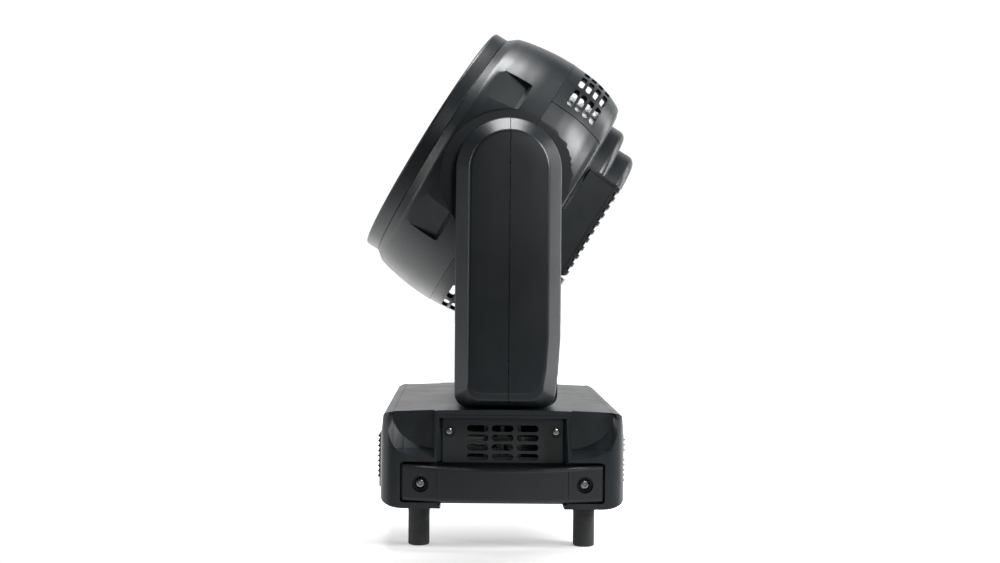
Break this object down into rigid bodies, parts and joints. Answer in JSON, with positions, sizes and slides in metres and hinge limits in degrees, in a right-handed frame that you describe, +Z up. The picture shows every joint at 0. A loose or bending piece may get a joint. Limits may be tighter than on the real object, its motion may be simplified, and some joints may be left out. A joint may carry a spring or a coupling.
{
  "type": "moving head light",
  "caption": "Motorised stage wash light: a rectangular base with carrying handles, a panning two-arm yoke and a tilting round lamp head with zoom.",
  "frame": {"origin": "the middle of the base, at the height of the feet's undersides", "axes": "+Z up, parallel to the pan axis, which stands 4.5 mm behind the origin; -X is the base's display side, towards which the head is tilted; Y runs from handle to handle and along the tilt axis"},
  "size_m": [0.316, 0.388, 0.5804],
  "materials": {
    "black_plastic": "satin charcoal-black moulded plastic with a fine texture",
    "black_steel": "black powder-coated sheet steel",
    "zinc_steel": "zinc-plated steel",
    "rubber": "matt black rubber",
    "bolt_steel": "blackened steel screw",
    "aluminium": "bare aluminium",
    "lens_clear": "clear moulded acrylic lenses",
    "circuit_board": "solder-masked circuit board",
    "display": "dark glossy display, unlit",
    "button_plastic": "dark grey button caps",
    "power_in_blue": "blue mains inlet",
    "power_out_grey": "light grey mains outlet",
    "socket_black": "black socket bodies",
    "belt_rubber": "black drive belt",
    "motor_steel": "dark motor casing",
    "fan_plastic": "black fan plastic"
  },
  "bodies": {
    "base": {"base_chassis": "black_steel", "base_end_cover_left": "black_plastic", "base_end_cover_right": "black_plastic", "base_fan_frame": "fan_plastic", "base_front_panel": "black_plastic", "base_rear_panel": "black_plastic", "base_top_cover": "black_plastic", "carry_handle_left": "black_plastic", "carry_handle_right": "black_plastic", "control_board": "circuit_board", "display_screen": "display", "dmx_input": "socket_black", "dmx_output": "socket_black", "foot_left_front": "rubber", "foot_left_rear": "rubber", "foot_right_front": "rubber", "foot_right_rear": "rubber", "fuse_holder": "socket_black", "handle_bolt_left_front": "bolt_steel", "handle_bolt_left_rear": "bolt_steel", "handle_bolt_right_front": "bolt_steel", "handle_bolt_right_rear": "bolt_steel", "pan_bracket": "black_steel", "pan_hub_pulley": "aluminium", "power_inlet": "power_in_blue", "power_outlet": "power_out_grey", "power_supply": "zinc_steel", "side_grille_left": "black_plastic", "side_grille_right": "black_plastic"},
    "yoke": {"yoke_frame": "black_steel", "arm_left_front_cover": "black_plastic", "arm_left_rear_cover": "black_plastic", "arm_right_front_cover": "black_plastic", "arm_right_rear_cover": "black_plastic", "yoke_bridge_cover": "black_plastic", "pan_shaft": "zinc_steel", "pan_motor": "motor_steel", "pan_belt": "belt_rubber", "tilt_motor": "motor_steel", "tilt_belt": "belt_rubber"},
    "head": {"lens_bezel": "black_plastic", "head_front_shell": "black_plastic", "head_rear_shell": "black_plastic", "head_rear_cover": "black_plastic", "head_exhaust_grille": "black_plastic", "heatsink": "aluminium", "led_board": "circuit_board", "head_fan_frame": "fan_plastic", "tilt_shaft_left": "zinc_steel", "tilt_shaft_right": "zinc_steel", "tilt_pulley": "aluminium"},
    "zoom_plate": {"zoom_lens_plate": "lens_clear"},
    "head_fan": {"head_fan_rotor": "fan_plastic"},
    "base_fan": {"base_fan_rotor": "fan_plastic"},
    "pan_pulley": {"pan_motor_pulley": "aluminium"},
    "tilt_pulley_small": {"tilt_motor_pulley": "aluminium"},
    "menu_key": {"menu_button": "button_plastic"},
    "down_key": {"down_button": "button_plastic"},
    "up_key": {"up_button": "button_plastic"},
    "enter_key": {"enter_button": "button_plastic"}
  },
  "joints": [
    {"name": "pan", "type": "hinge", "parent": "base", "child": "yoke", "pos_m": [0.0045, 0, 0.155], "axis": [0, 0, 1], "range_deg": [-270, 270]},
    {"name": "tilt", "type": "hinge", "parent": "yoke", "child": "head", "pos_m": [0.0045, 0, 0.4025], "axis": [0, 1, 0], "range_deg": [-76.3, 193.7]},
    {"name": "zoom", "type": "slide", "parent": "head", "child": "zoom_plate", "axis": [-0.8526, 0, 0.5225], "range_m": [-0.022, 0]},
    {"name": "head_fan_spin", "type": "hinge", "parent": "head", "child": "head_fan", "pos_m": [0.08678, 0, 0.35208], "axis": [-0.8526, 0, 0.5225], "continuous": true},
    {"name": "base_fan_spin", "type": "hinge", "parent": "base", "child": "base_fan", "pos_m": [0, -0.1665, 0.1176], "axis": [0, 1, 0], "continuous": true},
    {"name": "pan_pulley_spin", "type": "hinge", "parent": "yoke", "child": "pan_pulley", "pos_m": [0.0045, 0.062, 0.153], "axis": [0, 0, 1], "range_deg": [-1140, 1140]},
    {"name": "tilt_pulley_spin", "type": "hinge", "parent": "yoke", "child": "tilt_pulley_small", "pos_m": [0.0045, -0.17, 0.1895], "axis": [0, 1, 0], "range_deg": [-310, 780]},
    {"name": "menu_press", "type": "slide", "parent": "base", "child": "menu_key", "axis": [1, 0, 0], "range_m": [0, 0.0012], "stiffness_N_per_m": 400, "springref_m": -0.001},
    {"name": "down_press", "type": "slide", "parent": "base", "child": "down_key", "axis": [1, 0, 0], "range_m": [0, 0.0012], "stiffness_N_per_m": 400, "springref_m": -0.001},
    {"name": "up_press", "type": "slide", "parent": "base", "child": "up_key", "axis": [1, 0, 0], "range_m": [0, 0.0012], "stiffness_N_per_m": 400, "springref_m": -0.001},
    {"name": "enter_press", "type": "slide", "parent": "base", "child": "enter_key", "axis": [1, 0, 0], "range_m": [0, 0.0012], "stiffness_N_per_m": 400, "springref_m": -0.001}
  ],
  "couplings": [
    {"joint": "pan_pulley_spin", "follows": "pan", "ratio": -4.2},
    {"joint": "tilt_pulley_spin", "follows": "tilt", "ratio": 4}
  ]
}
